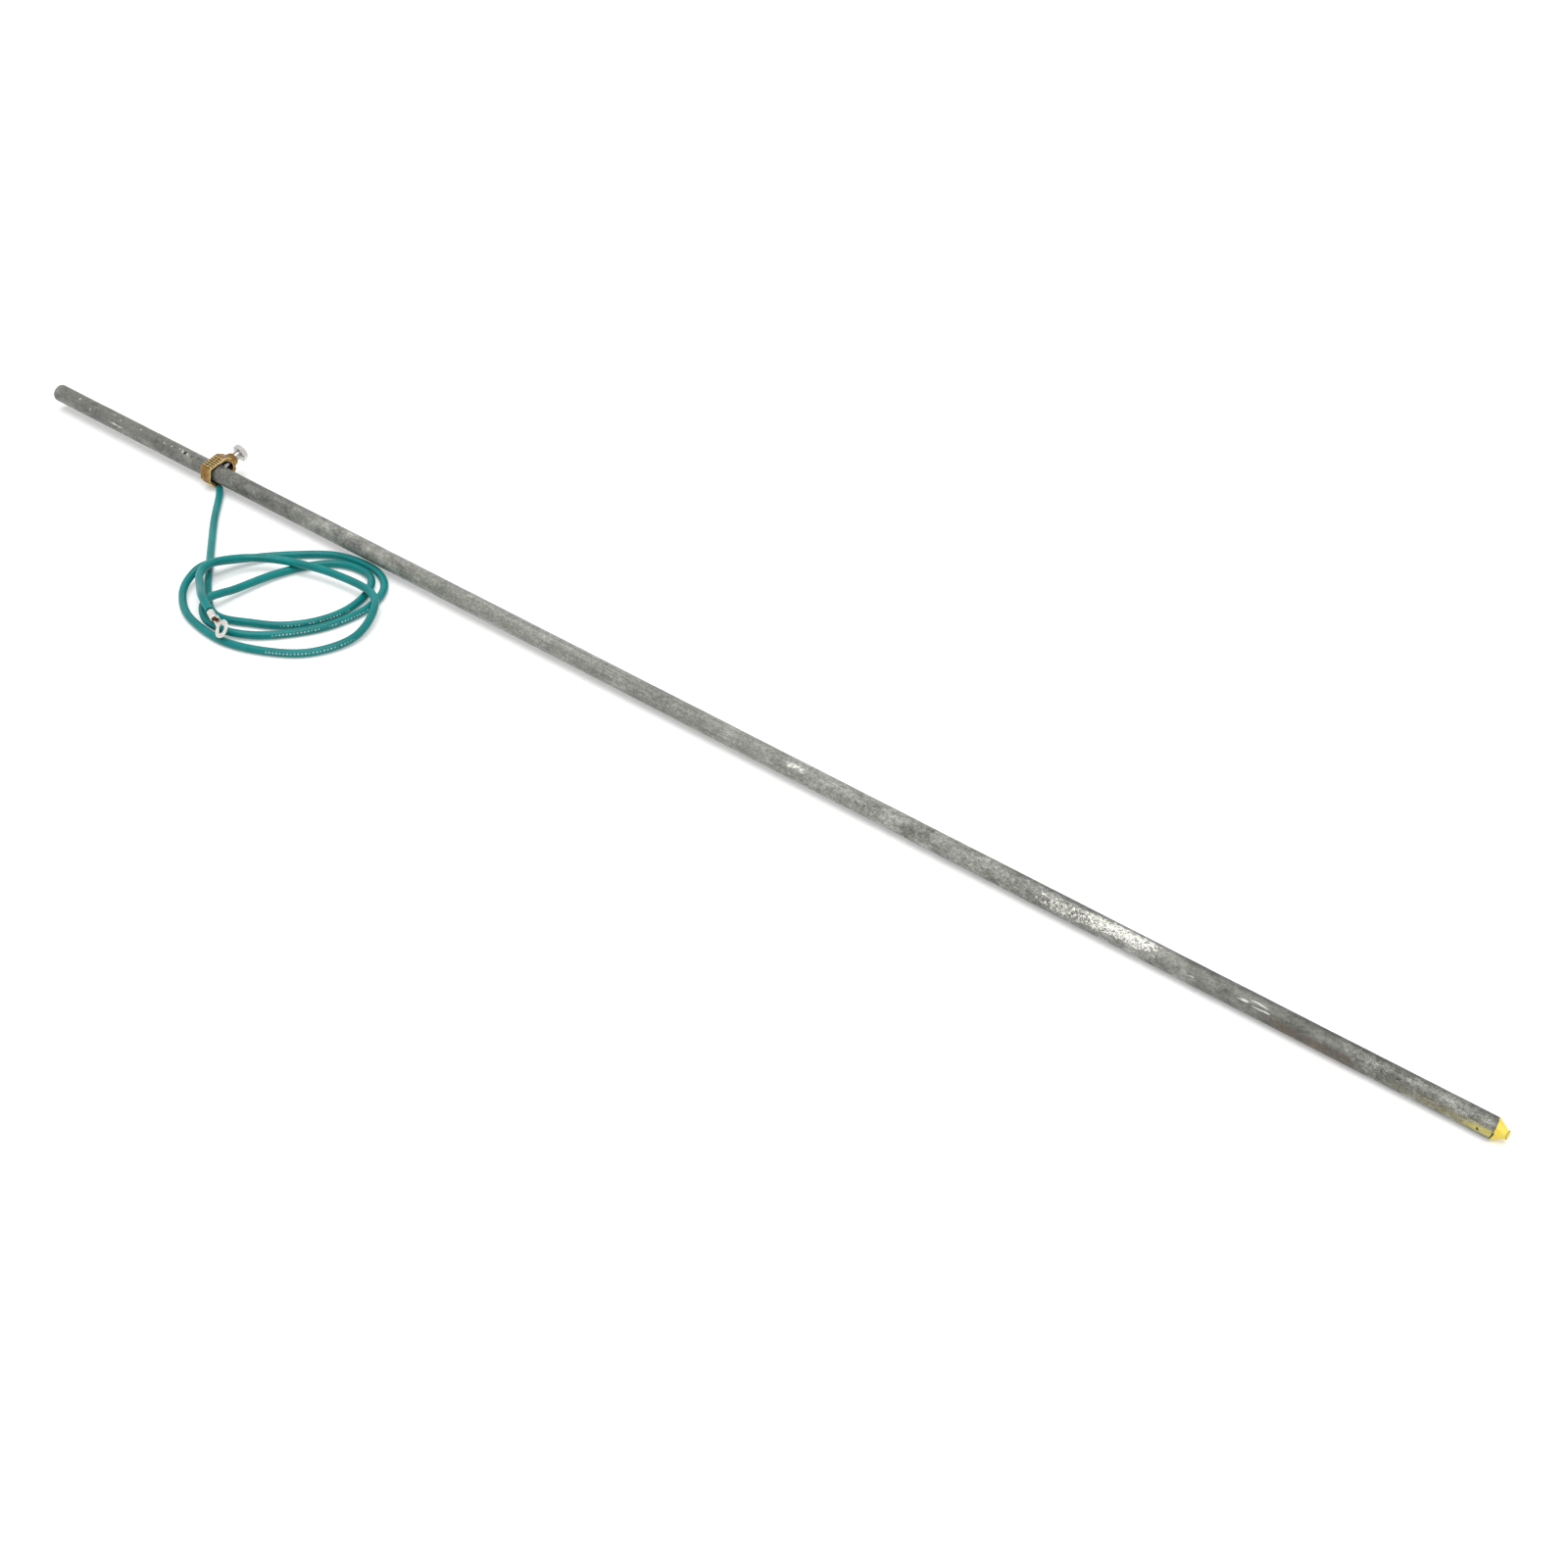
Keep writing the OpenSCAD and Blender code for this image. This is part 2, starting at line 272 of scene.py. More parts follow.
def settle(piece, place=Matrix.Identity(4)):
    """Puts a piece where it belongs and keeps that place in its mesh."""
    take(piece)
    piece.matrix_world = place @ piece.matrix_world
    bpy.ops.object.transform_apply(location=True, rotation=True, scale=True)
    return piece


def pick(piece, mode, wanted):
    """Selects the edges or faces that a test wants, in edit mode."""
    bpy.ops.mesh.select_mode(type=mode)
    bpy.ops.mesh.select_all(action="DESELECT")
    mesh = bmesh.from_edit_mesh(piece.data)
    for item in {"EDGE": mesh.edges, "FACE": mesh.faces}[mode]:
        if wanted(item):
            item.select_set(True)
    mesh.select_flush_mode()
    bmesh.update_edit_mesh(piece.data)


def draw_line(name, points):
    """A plane merged to one point, which is then drawn out from place to place."""
    points = [Vector(point) for point in points]
    look_at_nothing()
    bpy.ops.mesh.primitive_plane_add(size=MM)
    piece = added(name)
    edit(piece)
    bpy.ops.mesh.select_mode(type="VERT")
    bpy.ops.mesh.select_all(action="SELECT")
    bpy.ops.mesh.merge(type="CENTER")
    bpy.ops.transform.translate(value=points[0])
    for before, after in zip(points, points[1:]):
        bpy.ops.mesh.extrude_region_move(TRANSFORM_OT_translate={"value": after - before})
    return piece


def slab(name, outline, low, high):
    """A closed outline across X, filled and drawn out along X."""
    points = [(low, y, z) for y, z in outline]
    piece = draw_line(name, points + points[:1])
    bpy.ops.mesh.select_all(action="SELECT")
    bpy.ops.mesh.remove_doubles(threshold=SAME_PLACE)
    bpy.ops.mesh.edge_face_add()
    bpy.ops.mesh.extrude_region_move(TRANSFORM_OT_translate={"value": (high - low, 0, 0)})
    bpy.ops.mesh.select_all(action="SELECT")
    bpy.ops.mesh.normals_make_consistent(inside=False)
    look_at_nothing()
    return piece


def turned(name, outline):
    """A line of radius and height in millimetres, spun about Z."""
    piece = draw_line(name, [(radius * MM, 0, height * MM) for radius, height in outline])
    bpy.ops.mesh.select_all(action="SELECT")
    bpy.ops.mesh.spin(steps=ROUND_SIDES, angle=2 * math.pi, center=(0, 0, 0), axis=(0, 0, 1))
    bpy.ops.mesh.select_all(action="SELECT")
    bpy.ops.mesh.remove_doubles(threshold=SAME_PLACE)
    bpy.ops.mesh.normals_make_consistent(inside=False)
    look_at_nothing()
    return piece


def cylinder(name, sides, radius, depth, **place):
    look_at_nothing()
    bpy.ops.mesh.primitive_cylinder_add(vertices=sides, radius=radius, depth=depth, **place)
    return settle(added(name))


def finish_with(piece, kind, **settings):
    take(piece)
    modifier = piece.modifiers.new(kind.lower(), kind)
    for name, value in settings.items():
        setattr(modifier, name, value)
    bpy.ops.object.modifier_apply(modifier=modifier.name)


def carve(piece, tool, operation="DIFFERENCE"):
    finish_with(piece, "BOOLEAN", operation=operation, solver="EXACT", object=tool)
    bpy.data.objects.remove(tool)


def copied(piece, place):
    take(piece)
    bpy.ops.object.duplicate()
    return settle(bpy.context.object, place)


def joined(piece, others):
    take(piece)
    for other in others:
        other.select_set(True)
    bpy.context.view_layer.objects.active = piece
    bpy.ops.object.join()
    return piece


def smooth_shading(piece, degrees):
    take(piece)
    bpy.ops.object.shade_smooth_by_angle(angle=math.radians(degrees))


def melted(piece, voxel, rounds):
    """Runs a piece's parts into one skin with soft edges."""
    finish_with(piece, "REMESH", mode="VOXEL", voxel_size=voxel)
    finish_with(piece, "SMOOTH", factor=0.5, iterations=rounds)
    take(piece)
    bpy.ops.object.shade_smooth()


def dress(piece, finish, slot, body, *nodes):
    piece.data.materials.clear()
    piece.data.materials.append(finish.material)
    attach(piece, body)
    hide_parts(*nodes)


def rounded(corners, steps=6):
    """A closed outline whose corners, each y, z and radius, are rounded off by arcs."""
    outline = []
    for index, (y, z, radius) in enumerate(corners):
        corner = Vector((y, z))
        before = (Vector(corners[index - 1][:2]) - corner).normalized()
        after = (Vector(corners[(index + 1) % len(corners)][:2]) - corner).normalized()
        half = before.angle(after) / 2
        middle = corner + (before + after).normalized() * (radius / math.sin(half))
        start = corner + before * (radius / math.tan(half)) - middle
        turn = math.pi - 2 * half
        if before.x * after.y - before.y * after.x > 0:
            turn = -turn
        for step in range(steps + 1):
            angle = turn * step / steps
            outline.append(middle + Vector((
                start.x * math.cos(angle) - start.y * math.sin(angle),
                start.x * math.sin(angle) + start.y * math.cos(angle))))
    return outline


# Wire, as a tube along the CAD model's route

UP = Vector((0, 0, 1))
WIRE_SIDES, STRAND_SIDES = 20, 8

# Places in millimetres from the rod's near side at the clamp, with the height above the floor
WIRE_POINTS = [
    (8.5, 2, 3), (18, -6, 3), (40, -28, 3), (62, -48, 3), (88, -71, 3), (111, -91, 3), (133, -106, 3),
    (148, -108, 3), (165, -100, 3), (184, -88, 3), (197, -69, 3), (201, -47, 3), (195, -24, 3),
    (180, -8, 3), (156, -9, 3), (140, -24, 3), (131, -51, 4), (129, -82, 6), (129, -93, 8),
    (129, -103, 9), (134, -113, 8), (147, -119, 5), (168, -116, 4), (188, -100, 3), (206, -71, 3),
    (210, -38, 3), (199, -12, 3), (176, 0, 3), (144, -4, 3), (120, -23, 3), (102, -50, 5), (95, -78, 10),
    (96, -94, 7), (107, -109, 4), (131, -122, 3), (169, -126, 3), (201, -115, 3), (223, -97, 3),
    (232, -70, 4), (224, -45, 7), (205, -28, 9), (168, -28, 9), (134, -37, 9), (110, -53, 10),
    (102, -77, 14), (105, -91, 13), (120, -103, 14), (135, -113, 17), (150, -119, 15)]
wire_route = [Vector((hub.x, hub.y - ROD_R, 0)) + Vector(point) * MM for point in WIRE_POINTS]
wire_leaves = (wire_route[1] - wire_route[0]).normalized()
wire_arrives = (wire_route[-1] - wire_route[-2]).normalized()


def smooth_path(route, steps):
    """A smooth curve through a route's points, which goes straight on at its ends."""
    ends = [2 * route[0] - route[1]] + route + [2 * route[-1] - route[-2]]
    path = []
    for a, b, c, d in zip(ends, ends[1:], ends[2:], ends[3:]):
        for step in range(steps):
            f = step / steps
            bend = 2 * a - 5 * b + 4 * c - d + f * (3 * b - 3 * c + d - a)
            path.append(b + f / 2 * (c - a + f * bend))
    return path + [route[-1]]


def headings(path):
    last = len(path) - 1
    return [(path[min(i + 1, last)] - path[max(i - 1, 0)]).normalized() for i in range(len(path))]


def tube(mesh, rings, sides, lengthwise=None):
    """Adds a closed tube through rings of a middle, a side, an upward direction and a radius."""
    loops = []
    for middle, side, up, radius in rings:
        loops.append([mesh.verts.new(middle + radius * (
            math.cos(2 * math.pi * k / sides) * side + math.sin(2 * math.pi * k / sides) * up))
            for k in range(sides)])
    skin = mesh.loops.layers.uv.verify() if lengthwise else None
    for ring in range(len(loops) - 1):
        for k in range(sides):
            after = (k + 1) % sides
            here, there = loops[ring], loops[ring + 1]
            face = mesh.faces.new((here[k], here[after], there[after], there[k]))
            face.smooth = True
            if lengthwise:
                places = [(ring, k), (ring, k + 1), (ring + 1, k + 1), (ring + 1, k)]
                for loop, (row, column) in zip(face.loops, places):
                    loop[skin].uv = (lengthwise[row], column / sides)
    mesh.faces.new(loops[0][::-1])
    mesh.faces.new(loops[-1])


def from_mesh(name, mesh):
    bmesh.ops.recalc_face_normals(mesh, faces=mesh.faces)
    data = bpy.data.meshes.new(name)
    mesh.to_mesh(data)
    mesh.free()
    piece = bpy.data.objects.new(name, data)
    scene.collection.objects.link(piece)
    return piece


def path_length(path):
    return sum((b - a).length for a, b in zip(path, path[1:]))


PATH_STEPS = 20
wire_path = smooth_path(wire_route, PATH_STEPS)
wire_length = path_length(wire_path)


def earth_wire():
    """The insulation: rounded ends, each with a short bore that the strands come out of."""
    travelled = [0]
    for a, b in zip(wire_path, wire_path[1:]):
        travelled.append(travelled[-1] + (b - a).length / wire_length)
    rings, lengthwise = [], []
    wire_headings = headings(wire_path)
    last = len(wire_path) - 1

    def ring(index, forward, radius):
        heading = wire_headings[index]
        side = heading.cross(UP).normalized()
        rings.append((wire_path[index] + heading * forward, side, side.cross(heading), radius))
        lengthwise.append(travelled[index])

    bore = STRANDS_R + 0.15 * MM
    end_profile = (
        (1.2 * MM, bore), (0.1 * MM, bore), (0, bore + 0.1 * MM), (0, WIRE_R - 0.3 * MM),
        (0.1 * MM, WIRE_R - 0.08 * MM), (0.35 * MM, WIRE_R))
    for inward, radius in end_profile:
        ring(0, inward, radius)
    for index in range(1, last):
        ring(index, 0, WIRE_R)
    for inward, radius in reversed(end_profile):
        ring(last, -inward, radius)
    mesh = bmesh.new()
    tube(mesh, rings, WIRE_SIDES, lengthwise)
    return from_mesh("earth_wire", mesh)


def twisted(mesh, path, widths, turns):
    """Seven twisted wires along a path: one in the middle and six round it."""
    steps = headings(path)
    in_the_middle = 6
    for strand in range(in_the_middle + 1):
        middles = []
        for index, (point, heading, width) in enumerate(zip(path, steps, widths)):
            side = heading.cross(UP).normalized()
            up = side.cross(heading)
            angle = math.pi / 3 * strand + 2 * math.pi * turns * index / (len(path) - 1)
            out = 0 if strand == in_the_middle else 0.65 * width
            middles.append(point + out * (math.cos(angle) * side + math.sin(angle) * up))
        rings = []
        for point, heading, width in zip(middles, headings(middles), widths):
            side = heading.cross(UP).normalized()
            rings.append((point, side, side.cross(heading), width / 3))
        tube(mesh, rings, STRAND_SIDES)


def bare_strands():
    """The copper strands that show at the wire's two ends, pressed narrower in the clamp."""
    in_the_wire = 1.1
    reach = ROD_R + 0.15 * MM + PRESSED_R
    angle = math.radians(54)
    seat = [on_clamp @ Vector((x * MM, -reach * math.cos(angle), -reach * math.sin(angle)))
            for x in (-6.75, 0, 5.25, 5.725)]
    start, end = wire_route[0], wire_route[-1]
    steps = 10
    into_clamp = smooth_path(
        seat + [start - STRANDS_R * wire_leaves, start, start + in_the_wire * MM * wire_leaves], steps)
    pressed = (len(seat) - 1) * steps
    widths = [PRESSED_R + (STRANDS_R - PRESSED_R) * min(max((index - pressed) / steps, 0), 1)
              for index in range(len(into_clamp))]
    into_barrel = [end + wire_arrives * (-in_the_wire + 0.5 * step) * MM for step in range(24)]
    mesh = bmesh.new()
    twisted(mesh, into_clamp, widths, 1.2)
    twisted(mesh, into_barrel, [STRANDS_R] * len(into_barrel), 0.9)
    return from_mesh("bare_strands", mesh)


# Rod, clamp, bolt and terminal

def zinc_rod():
    """A bar with a rounded driven end, drawn out at the other into a cone and a nub."""
    piece = cylinder(
        "zinc_rod", 48, ROD_R, SHOULDER_X, rotation=(0, math.pi / 2, 0),
        location=(SHOULDER_X / 2 - CLAMP_FROM_END, 0, 0))
    shoulder = SHOULDER_X - CLAMP_FROM_END
    nub = shoulder + CONE_LENGTH
    edit(piece)
    pick(piece, "FACE", lambda face: face.normal.x > 0.9)
    bpy.ops.mesh.extrude_region_move(TRANSFORM_OT_translate={"value": (CONE_LENGTH, 0, 0)})
    narrower = NUB_R / ROD_R
    bpy.ops.transform.resize(value=(1, narrower, narrower), center_override=(nub, 0, 0))
    bpy.ops.mesh.extrude_region_move(TRANSFORM_OT_translate={"value": (NUB_LENGTH, 0, 0)})
    pick(piece, "EDGE", lambda edge: min(v.co.x for v in edge.verts) > nub + NUB_LENGTH / 2)
    bpy.ops.mesh.bevel(offset=0.5 * MM, segments=3, affect="EDGES")
    pick(piece, "EDGE", lambda edge: max(v.co.x for v in edge.verts) < -CLAMP_FROM_END + MM)
    bpy.ops.mesh.bevel(offset=1.2 * MM, segments=5, affect="EDGES")
    pick(piece, "EDGE", lambda edge: all(abs(v.co.x - shoulder) < MM for v in edge.verts))
    bpy.ops.mesh.bevel(offset=0.4 * MM, segments=3, affect="EDGES")
    for _ in range(2):
        pick(piece, "EDGE", lambda edge: edge.calc_length() > 20 * MM)
        bpy.ops.mesh.subdivide(number_cuts=24)
    look_at_nothing()
    lumps = bpy.data.textures.new("zinc_lumps", "CLOUDS")
    lumps.noise_scale = 0.009
    lumps.noise_depth = 2
    finish_with(
        piece, "DISPLACE", texture=lumps, texture_coords="LOCAL", strength=0.16 * MM, mid_level=0.5)
    smooth_shading(piece, 40)
    return settle(piece, on_rod)


def clamp_casting():
    """The loop with its V base and tapered boss, with plain raised bars on one flank and half the base."""
    base_outer, flank_outer, loop_end = 9.216, 8.577, 13.95
    base_inner, flank_inner, opening_end = 7.616, 7.177, 11.95
    bore, boss_rim, boss_root, boss_end = 3.32, 4.335, 6.084, 18.05
    bar_sides, row_pitch, column_pitch = (2.3, 1.1, 1.3), 3.1, 2.05

    def heel(distance, across):
        return (across * math.sin(BASE_SLOPE) - distance) / math.cos(BASE_SLOPE)

    def in_metres(corners):
        return [(u * MM, w * MM, radius * MM) for u, w, radius in corners]

    outer = rounded(in_metres([
        (heel(base_outer, 0), 0, 1.5), (heel(base_outer, flank_outer), -flank_outer, 1.2),
        (8.75, -flank_outer, 4), (loop_end, 1.2 - boss_root, 1.2), (loop_end, boss_root - 1.2, 1.2),
        (8.75, flank_outer, 4), (heel(base_outer, flank_outer), flank_outer, 1.2)]))
    inner = rounded(in_metres([
        (heel(base_inner, 0), 0, 1.5), (heel(base_inner, flank_inner), -flank_inner, 0.95),
        (opening_end, -flank_inner, flank_inner - 0.01), (opening_end, flank_inner, flank_inner - 0.01),
        (heel(base_inner, flank_inner), flank_inner, 0.95)]), 12)
    half = CLAMP_WIDTH / 2
    casting = slab("clamp_casting", outer, -half, half)
    boss = turned("boss", (
        (0, opening_end), (boss_root, opening_end), (boss_rim + 0.17, boss_end - 0.6),
        (boss_rim - 0.2, boss_end - 0.15), (boss_rim - 0.6, boss_end), (0, boss_end)))
    settle(boss, Matrix.Rotation(math.radians(-90), 4, "X"))
    carve(casting, boss, "UNION")
    carve(casting, slab("opening", inner, -2 * half, 2 * half))
    carve(casting, cylinder(
        "bore", ROUND_SIDES, bore * MM, 30 * MM, location=(0, 15 * MM, 0), rotation=(math.pi / 2, 0, 0)))
    look_at_nothing()
    bpy.ops.mesh.primitive_cube_add(size=1)
    bar = added("raised_bar")
    bar.scale = tuple(side * MM for side in bar_sides)
    settle(bar)
    finish_with(bar, "BEVEL", width=0.2 * MM, segments=2)
    on_flank = Matrix.Translation((0, 0, flank_outer * MM))
    on_base = Matrix.Rotation(math.pi / 2 + BASE_SLOPE, 4, "X") @ Matrix.Translation((0, 0, base_outer * MM))
    bars = [
        copied(bar, face @ Matrix.Translation((row * row_pitch * MM, (column * column_pitch - first) * MM, 0)))
        for face, columns, first in ((on_flank, 6, 4.1), (on_base, 3, 3.6))
        for row in (-1, 0, 1) for column in range(columns)]
    bpy.data.objects.remove(bar)
    joined(casting, bars)
    melted(casting, 0.17 * MM, 7)
    return settle(casting, on_clamp)


def clamp_screw():
    """A hexagon-headed screw with a cut thread."""
    pitch, crest, root = 1.27, 3.17, 2.55
    tip, head, head_end, head_corner = 6.5, 22.35, 26.55, 6.409
    shape = [(root, 0), (root, 0.16), (crest, 0.55), (crest, 0.72), (root, 1.11), (root, pitch)]
    screw = draw_line("clamp_screw", [(r * MM, 0, (tip - pitch + h) * MM) for r, h in shape])
    look_at_nothing()
    finish_with(
        screw, "SCREW", angle=2 * math.pi, screw_offset=pitch * MM, iterations=15, steps=40, render_steps=40,
        axis="Z", use_merge_vertices=True, merge_threshold=SAME_PLACE)
    edit(screw)
    for level, above in ((tip, False), (head + 1, True)):
        bpy.ops.mesh.select_all(action="SELECT")
        bpy.ops.mesh.bisect(plane_co=(0, 0, level * MM), plane_no=(0, 0, 1), use_fill=True,
                            clear_outer=above, clear_inner=not above)
    bpy.ops.mesh.select_all(action="SELECT")
    bpy.ops.mesh.remove_doubles(threshold=0.002 * MM)
    bpy.ops.mesh.normals_make_consistent(inside=False)
    point = turned("point", ((0, tip), (2.3, tip), (3.4, tip + 1.1), (3.4, head + 2), (0, head + 2)))
    carve(screw, point, "INTERSECT")
    hexagon = cylinder(
        "hexagon", 6, head_corner * MM, (head_end - head) * MM,
        location=(0, 0, (head + head_end) / 2 * MM), rotation=(0, 0, math.radians(30)))
    chamfers = turned("chamfers", (
        (0, head), (5.6, head), (6.5, head + 0.4), (6.5, head_end - 0.75), (5.2, head_end), (0, head_end)))
    carve(hexagon, chamfers, "INTERSECT")
    finish_with(
        hexagon, "BEVEL", width=0.14 * MM, segments=2, limit_method="ANGLE", angle_limit=math.radians(25))
    carve(screw, hexagon, "UNION")
    smooth_shading(screw, 30)
    return settle(screw, along_bolt)


def lug_terminal():
    """A crimped ring terminal, along X from the wire's end."""
    ring_x, ring_r, hole_r, sheet = 19.8, 6.3, 3.3, 1
    barrel_r, bore_r, chamfer = 2.5, 1.55, 0.2
    start, end = 1.6, 9.6
    root_x, neck_x, neck_half = -12.2, -5.1, 2.75
    ring_steps = 40
    roll = math.radians(53)
    barrel = turned("lug_terminal", (
        (bore_r, start), (barrel_r - chamfer, start), (barrel_r, start + chamfer), (barrel_r, end - chamfer),
        (barrel_r - chamfer, end), (bore_r, end), (bore_r, start)))
    settle(barrel, Matrix.Rotation(math.pi / 2, 4, "Y"))
    tongue = [(root_x, -barrel_r), (neck_x, -neck_half)]
    for step in range(ring_steps + 1):
        angle = math.radians(-135 + 270 * step / ring_steps)
        tongue.append((ring_r * math.cos(angle), ring_r * math.sin(angle)))
    tongue += [(neck_x, neck_half), (root_x, barrel_r)]
    plate = slab("tongue", [(x * MM, y * MM) for x, y in tongue], 0, sheet * MM)
    settle(plate, Matrix.Translation((ring_x * MM, 0, -barrel_r * MM)) @ Matrix(
        ((0, 1, 0, 0), (0, 0, 1, 0), (1, 0, 0, 0), (0, 0, 0, 1))))
    carve(plate, cylinder(
        "wire_way", ROUND_SIDES, bore_r * MM, 12 * MM, location=(7 * MM, 0, 0), rotation=(0, math.pi / 2, 0)))
    carve(plate, cylinder("stud_hole", ROUND_SIDES, hole_r * MM, 4 * MM, location=(ring_x * MM, 0, -2 * MM)))
    joined(barrel, [plate])
    melted(barrel, 0.13 * MM, 4)
    turn = math.atan2(wire_arrives.y, wire_arrives.x)
    place = (Matrix.Translation(wire_route[-1]) @ Matrix.Rotation(turn, 4, "Z")
             @ Matrix.Rotation(-math.asin(wire_arrives.z), 4, "Y") @ Matrix.Rotation(roll, 4, "X"))
    return settle(barrel, place)


# Finishes

# Specks near the driven end: millimetres along the rod, angle round it, size and shade
SPECKS = (
    (29, 1.15, 1.2, 190), (44, 0.6, 1.5, 160), (69, 1.35, 1.0, 165), (78, 1.05, 0.8, 190), (101, 1.2, 1.0, 185),
    (129, 1.05, 0.9, 190), (137.3, 1.1, 0.9, 200), (145.1, 1.27, 0.8, 205), (147.7, 1.37, 0.7, 195),
    (149.6, 1.15, 1.0, 225), (155, 1.12, 1.0, 215), (152.3, 1.13, 1.9, 14), (160, 1.1, 1.4, 80))


def zinc_and_paint():
    """Weathered zinc, worn bright and stained in places, with yellow paint on the point."""
    finish = Finish("worn_zinc_and_yellow_paint", IOR=1.45)
    place = finish.object_place()
    along = finish.reach(place, on_rod.col[0].xyz) / MM + CLAMP_FROM_END / MM
    up = finish.reach(place, on_rod.col[2].xyz) / MM
    near = finish.reach(place, -on_rod.col[1].xyz) / MM
    turn = up.angle_from(near)

    def stretch(start, end, soft):
        return along.rise(start - soft, start + soft) * along.rise(end + soft, end - soft)

    def band(middle, half, soft):
        return (turn - middle).size().rise(half + soft, half - soft)

    patches = finish.cloud(finish.drawn_out(place, 0.6), 110, 4, 0.65)
    mottle = finish.cloud(finish.drawn_out(place, 0.8), 520, 3, 0.65)
    streaks = finish.cloud(finish.drawn_out(place, 0.03), 800, 3, 0.6)
    grain = finish.cloud(place, 1700, 2)

    # Grey and smudged at the driven end, pale and even in the middle, blotched towards the point
    blotched = along.rise(700, 860)
    even = stretch(400, 780, 40)
    calm = 1 - 0.55 * stretch(1010, 1125, 12)
    tone = (0.42 - 0.05 * stretch(185, 245, 15) + 0.14 * along.rise(255, 330) - 0.06 * stretch(600, 660, 20)
            - 0.05 * along.rise(820, 860) - 0.05 * stretch(895, 955, 10) + 0.06 * stretch(960, 1010, 15)
            - 0.12 * along.rise(1005, 1040) + 0.1 * along.rise(1135, 1165)
            + (0.9 - 0.5 * even) * (patches - 0.5) + calm * (0.62 + 0.24 * blotched) * (mottle - 0.5)
            + (0.15 + 0.3 * even) * (streaks - 0.5) + calm * (0.5 + 0.4 * blotched) * (grain - 0.5))
    cracks = finish.cell_walls(place, 300).rise(0.1, 0.02)
    tone = tone - 0.16 * cracks * mottle.rise(0.4, 0.55) * stretch(410, 700, 30) * band(0.25, 0.5, 0.25)
    # Painted shade and dark reflection: a darker band along the upper back of the rod
    back_edge_painted_shade = turn.rise(3.0, 2.5)
    tone = tone - back_edge_painted_shade * (0.2 * turn.rise(1.95, 2.2) * along.rise(300, 600)
                               + 0.22 * turn.rise(1.35, 2.0) * along.rise(850, 950))
    zinc = tone.stops(
        (0.05, srgb(52, 52, 48)), (0.25, srgb(88, 89, 83)), (0.45, srgb(124, 125, 119)),
        (0.62, srgb(156, 157, 150)), (0.85, srgb(205, 206, 199)))

    # Bright worn metal, with dark pits in it
    ragged = finish.cloud(finish.drawn_out(place, 0.6), 640, 4, 0.75)
    on_top = (turn - 0.4 * along.rise(935, 980) - 0.7).size().rise(1.05, 0.45)
    zones = (stretch(916, 1004, 16) * on_top + 0.45 * stretch(845, 905, 14) * band(1.05, 0.5, 0.3)
             + 0.9 * stretch(728, 744, 5) * band(0.95, 0.35, 0.2))
    worn = (ragged - 0.34 * (1 - zones) - 0.05 * stretch(900, 955, 8)).rise(0.4, 0.52)
    colour = finish.mix(0.3 * zones, zinc, srgb(205, 205, 196))
    colour = finish.mix(worn, colour, srgb(242, 242, 233))
    pitted = (0.1 + 0.06 * stretch(915, 955, 8)) * zones - 0.06 * (1 - blotched)
    pits = (finish.cloud(place, 1300, 2) + pitted).rise(0.66, 0.72)
    colour = finish.mix(0.85 * pits, colour, srgb(58, 56, 48))

    # Pale scratches along the rod
    scratched = (stretch(1054, 1080, 3) * band(0.8, 0.3, 0.12) + stretch(58, 90, 8) * band(0.3, 0.2, 0.1)
                 + 0.8 * stretch(1012, 1042, 5) * band(0.45, 0.12, 0.1))
    lines = finish.cloud(finish.drawn_out(place, 0.1), 900, 2)
    scratches = (lines - 0.4 * (1 - scratched)).rise(0.52, 0.58)
    colour = finish.mix(0.9 * scratches, colour, srgb(232, 231, 222))

    # Dark smudges, pale specks and dark pits near the driven end
    smudges = stretch(6, 150, 12) * (0.4 * patches + 0.6 * mottle).rise(0.5, 0.58) * band(1.2, 0.9, 0.3)
    colour = finish.mix(0.6 * smudges, colour, srgb(72, 72, 66))
    for start, angle, size, shade in SPECKS:
        middle = on_rod @ Vector((
            start * MM - CLAMP_FROM_END, -ROD_R * math.cos(angle), ROD_R * math.sin(angle)))
        speck = (finish.distance(place, middle) / MM + 1.6 * (grain - 0.5)).rise(size, 0.5 * size)
        colour = finish.mix(speck, colour, srgb(shade, shade, shade - 6))

    # A brown stain low on the near side
    stain = stretch(1076, 1132, 9) * turn.rise(0.75, 0.2)
    colour = finish.mix(stain * patches.rise(0.3, 0.55) * 0.65, colour, srgb(92, 76, 58))

    # Thin overspray behind the point, with brown runs above it
    runs = finish.cloud(finish.drawn_out(place, 0.09), 1000, 3, 0.6)
    mist = along.rise(1140, 1172) * band(0.05, 0.4, 0.3) * runs.rise(0.38, 0.56)
    misty = along.rise(1165, 1205).stops((0, srgb(122, 114, 66)), (1, srgb(196, 184, 92)))
    colour = finish.mix(0.6 * mist, colour, misty)
    thicker = along.rise(1190, 1209) * band(0.12, 0.3, 0.2) * runs.rise(0.34, 0.5)
    colour = finish.mix(0.7 * thicker, colour, srgb(232, 220, 116))
    brown = along.rise(1150, 1190) * band(0.5, 0.3, 0.2) * runs.rise(0.5, 0.6)
    colour = finish.mix(0.8 * brown, colour, srgb(88, 68, 34))
